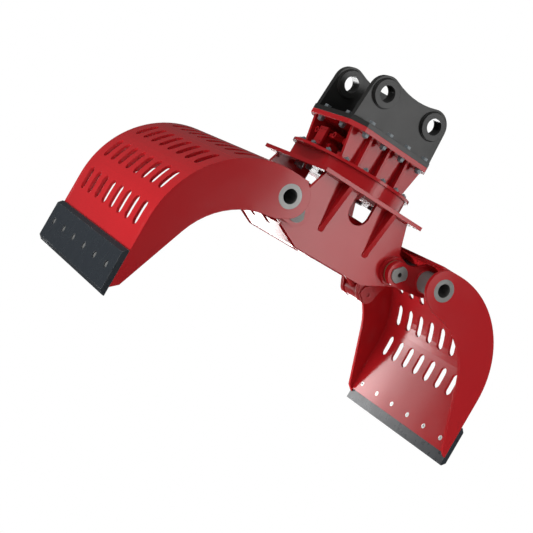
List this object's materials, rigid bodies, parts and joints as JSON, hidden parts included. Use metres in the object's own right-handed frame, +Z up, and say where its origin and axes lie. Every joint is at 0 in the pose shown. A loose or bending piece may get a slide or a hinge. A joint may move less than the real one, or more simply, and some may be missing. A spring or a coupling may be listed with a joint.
{
  "type": "sorting grapple",
  "caption": "Excavator sorting grapple: perforated clamshell jaws on a slewing head with a lugged hanger, hydraulic cylinders and a tie rod that keeps the jaws in step.",
  "frame": {"origin": "on the ground under the slewing axis, with the shells fully open and standing on their cutting edges", "axes": "+Z up along the slewing axis, +X the way the right shell opens, Y along the shell pivots"},
  "size_m": [2.2, 1, 1.567],
  "materials": {
    "charcoal_paint": "satin charcoal paint",
    "red_paint": "glossy red paint",
    "dark_red_paint": "glossy red paint, mostly in shade",
    "zinc_bolt": "zinc-plated",
    "blade_steel": "dark wear-resistant steel",
    "pin_steel": "turned steel",
    "bright_rod": "hard-chromed",
    "bronze": "turned bronze"
  },
  "bodies": {
    "hanger": {"hanger_plate": "charcoal_paint", "lug_front": "charcoal_paint", "lug_rear": "charcoal_paint", "hanger_bolts": "zinc_bolt", "upper_plate": "red_paint", "upper_side_front": "red_paint", "upper_side_rear": "red_paint", "slew_flange": "red_paint", "flange_bolts": "zinc_bolt", "slew_motor_left": "dark_red_paint", "slew_motor_right": "dark_red_paint", "valve_block": "dark_red_paint", "swivel": "dark_red_paint"},
    "frame": {"slew_housing": "red_paint", "frame_top": "red_paint", "ring_bolts": "zinc_bolt", "frame_side_front": "red_paint", "frame_side_rear": "red_paint", "belly_plate": "red_paint", "pivot_bushes": "bronze"},
    "right_shell": {"right_back_sheet": "red_paint", "right_side_front": "red_paint", "right_side_rear": "red_paint", "right_blade": "blade_steel", "right_blade_bolts": "zinc_bolt", "right_shaft": "pin_steel", "right_arm_front": "red_paint", "right_arm_rear": "red_paint", "right_pins": "pin_steel", "right_hub": "dark_red_paint", "right_crank_front": "dark_red_paint", "right_crank_rear": "dark_red_paint", "right_crank_pins": "pin_steel", "right_tie_pin": "dark_red_paint"},
    "left_shell": {"left_back_sheet": "red_paint", "left_side_front": "red_paint", "left_side_rear": "red_paint", "left_blade": "blade_steel", "left_blade_bolts": "zinc_bolt", "left_shaft": "pin_steel", "left_arm_front": "red_paint", "left_arm_rear": "red_paint", "left_pins": "pin_steel", "left_hub": "dark_red_paint", "left_crank_front": "dark_red_paint", "left_crank_rear": "dark_red_paint", "left_crank_pins": "pin_steel", "left_tie_studs": "pin_steel"},
    "front_barrel": {"barrel_front": "dark_red_paint"},
    "rear_barrel": {"barrel_rear": "dark_red_paint"},
    "front_rod": {"rod_front": "bright_rod"},
    "rear_rod": {"rod_rear": "bright_rod"},
    "tie_rod": {"tie_rod": "dark_red_paint"}
  },
  "joints": [
    {"name": "slewing", "type": "hinge", "parent": "hanger", "child": "frame", "pos_m": [0, 0, 1.008], "axis": [0, 0, 1], "continuous": true},
    {"name": "right_jaw", "type": "hinge", "parent": "frame", "child": "right_shell", "pos_m": [0.348, 0, 0.746], "axis": [0, 1, 0], "range_deg": [0, 63.6]},
    {"name": "left_jaw", "type": "hinge", "parent": "frame", "child": "left_shell", "pos_m": [-0.348, 0, 0.746], "axis": [0, 1, 0], "range_deg": [-63.6, 0]},
    {"name": "front_barrel_pin", "type": "hinge", "parent": "left_shell", "child": "front_barrel", "pos_m": [-0.29267, -0.15, 0.83524], "axis": [0, 1, 0], "range_deg": [0, 63.6]},
    {"name": "front_rod_pin", "type": "hinge", "parent": "right_shell", "child": "front_rod", "pos_m": [0.29267, -0.15, 0.83524], "axis": [0, 1, 0], "range_deg": [-63.6, 0]},
    {"name": "rear_barrel_pin", "type": "hinge", "parent": "left_shell", "child": "rear_barrel", "pos_m": [-0.29267, 0.15, 0.83524], "axis": [0, 1, 0], "range_deg": [0, 63.6]},
    {"name": "rear_rod_pin", "type": "hinge", "parent": "right_shell", "child": "rear_rod", "pos_m": [0.29267, 0.15, 0.83524], "axis": [0, 1, 0], "range_deg": [-63.6, 0]},
    {"name": "tie_rod_pin", "type": "hinge", "parent": "right_shell", "child": "tie_rod", "pos_m": [0.40637, 0, 0.58208], "axis": [0, 1, 0], "range_deg": [-63.6, 0]}
  ],
  "couplings": [
    {"joint": "left_jaw", "follows": "right_jaw", "ratio": -1},
    {"joint": "front_barrel_pin", "follows": "right_jaw", "ratio": 1},
    {"joint": "front_rod_pin", "follows": "right_jaw", "ratio": -1},
    {"joint": "rear_barrel_pin", "follows": "right_jaw", "ratio": 1},
    {"joint": "rear_rod_pin", "follows": "right_jaw", "ratio": -1},
    {"joint": "tie_rod_pin", "follows": "right_jaw", "ratio": -1}
  ]
}
